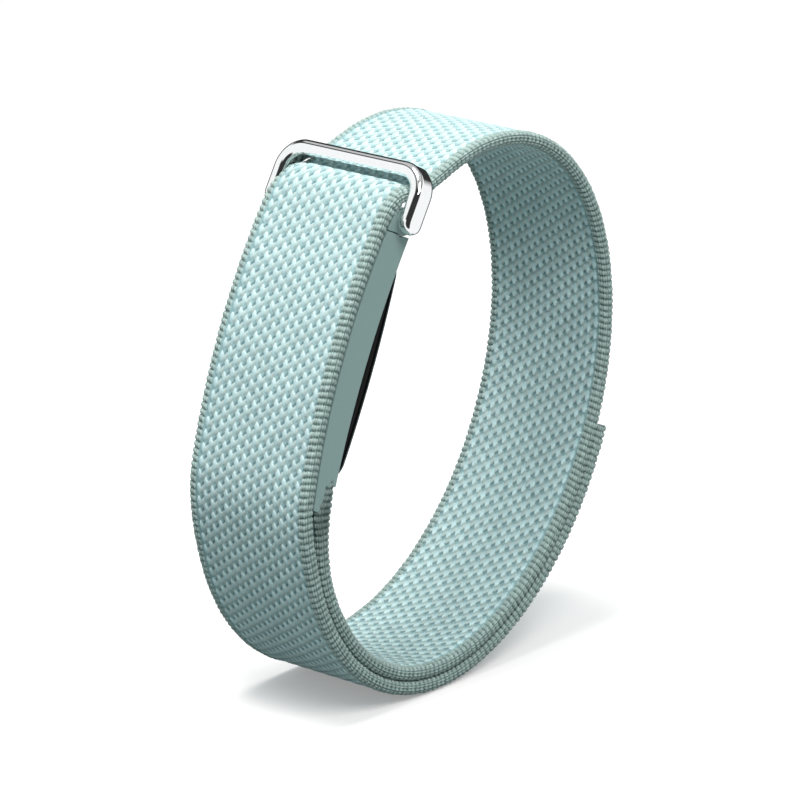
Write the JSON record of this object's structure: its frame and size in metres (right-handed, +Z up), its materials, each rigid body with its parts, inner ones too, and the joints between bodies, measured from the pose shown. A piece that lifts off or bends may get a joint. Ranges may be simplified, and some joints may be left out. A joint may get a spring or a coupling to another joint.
{
  "type": "fitness tracker band",
  "caption": "Knit wrist strap wound over a small sensor pod and back through a polished steel ring; the ring lifts, the strap's tail peels open and the pod slides out sideways.",
  "frame": {"origin": "centre of the wrist opening, halfway across the strap's width", "axes": "+X along the wrist, +Z up as the band stands on its strap; the sensor pod is on the -Y side, and its long axis leans 24 degrees from +Z towards +Y"},
  "size_m": [0.0264, 0.0656, 0.0771],
  "materials": {
    "knit": "mint and grey-green knit",
    "thread": "grey-green thread",
    "hook_fabric": "fine hook tape",
    "link_steel": "satin",
    "sage_shell": "matte sage green",
    "polished_steel": "polished",
    "gloss_black": "gloss black",
    "gasket_rubber": "matte dark grey",
    "window_glass": "dark tinted",
    "copper": "enamelled copper",
    "ferrite": "matte dark grey",
    "battery_pouch": "satin",
    "foam": "matte black foam",
    "flex_film": "amber film",
    "board": "green solder mask",
    "shield": "satin",
    "chip": "matte black",
    "connector": "cream",
    "green_led": "clear green",
    "infrared_led": "clear red",
    "photodiode": "dark glossy",
    "baffle": "matte black",
    "motor_steel": "satin",
    "rotor_metal": "dull grey"
  },
  "bodies": {
    "band": {"strap_inner_run": "knit", "strap_outer_run": "knit", "end_stitches": "thread", "lower_link": "link_steel", "upper_link": "sage_shell"},
    "clasp": {"clasp_ring": "polished_steel", "ring_pin": "polished_steel"},
    "tail": {"strap_tail": "knit", "hook_patch": "hook_fabric"},
    "pod": {"pod_case": "sage_shell", "back_cover": "gloss_black", "cover_gasket": "gasket_rubber", "optical_window": "window_glass", "temperature_contact": "polished_steel", "charging_coil": "copper", "ferrite_sheet": "ferrite", "battery_cell": "battery_pouch", "battery_foam": "foam", "battery_flex": "flex_film", "main_board": "board", "shield_can": "shield", "processor_chip": "chip", "memory_chip": "chip", "power_chip": "chip", "motion_chip": "chip", "board_connector": "connector", "sensor_board": "board", "green_leds": "green_led", "infrared_leds": "infrared_led", "photodiodes": "photodiode", "light_baffle": "baffle", "antenna_flex": "flex_film", "motor_cup": "motor_steel", "motor_plate": "motor_steel", "motor_shaft": "motor_steel"},
    "rotor": {"motor_rotor": "rotor_metal"}
  },
  "joints": [
    {"name": "ring_hinge", "type": "hinge", "parent": "band", "child": "clasp", "pos_m": [0, -0.01346, 0.02914], "axis": [1, 0, 0], "range_deg": [0, 85]},
    {"name": "tail_peel", "type": "hinge", "parent": "band", "child": "tail", "pos_m": [0, 0.01703, -0.02999], "axis": [-1, 0, 0], "range_deg": [0, 70]},
    {"name": "pod_slide", "type": "slide", "parent": "band", "child": "pod", "axis": [1, 0, 0], "range_m": [0, 0.0245]},
    {"name": "rotor_spin", "type": "hinge", "parent": "pod", "child": "rotor", "pos_m": [-0.0046, -0.01865, 0.0199], "axis": [0, 0.9135, -0.4067], "continuous": true}
  ]
}
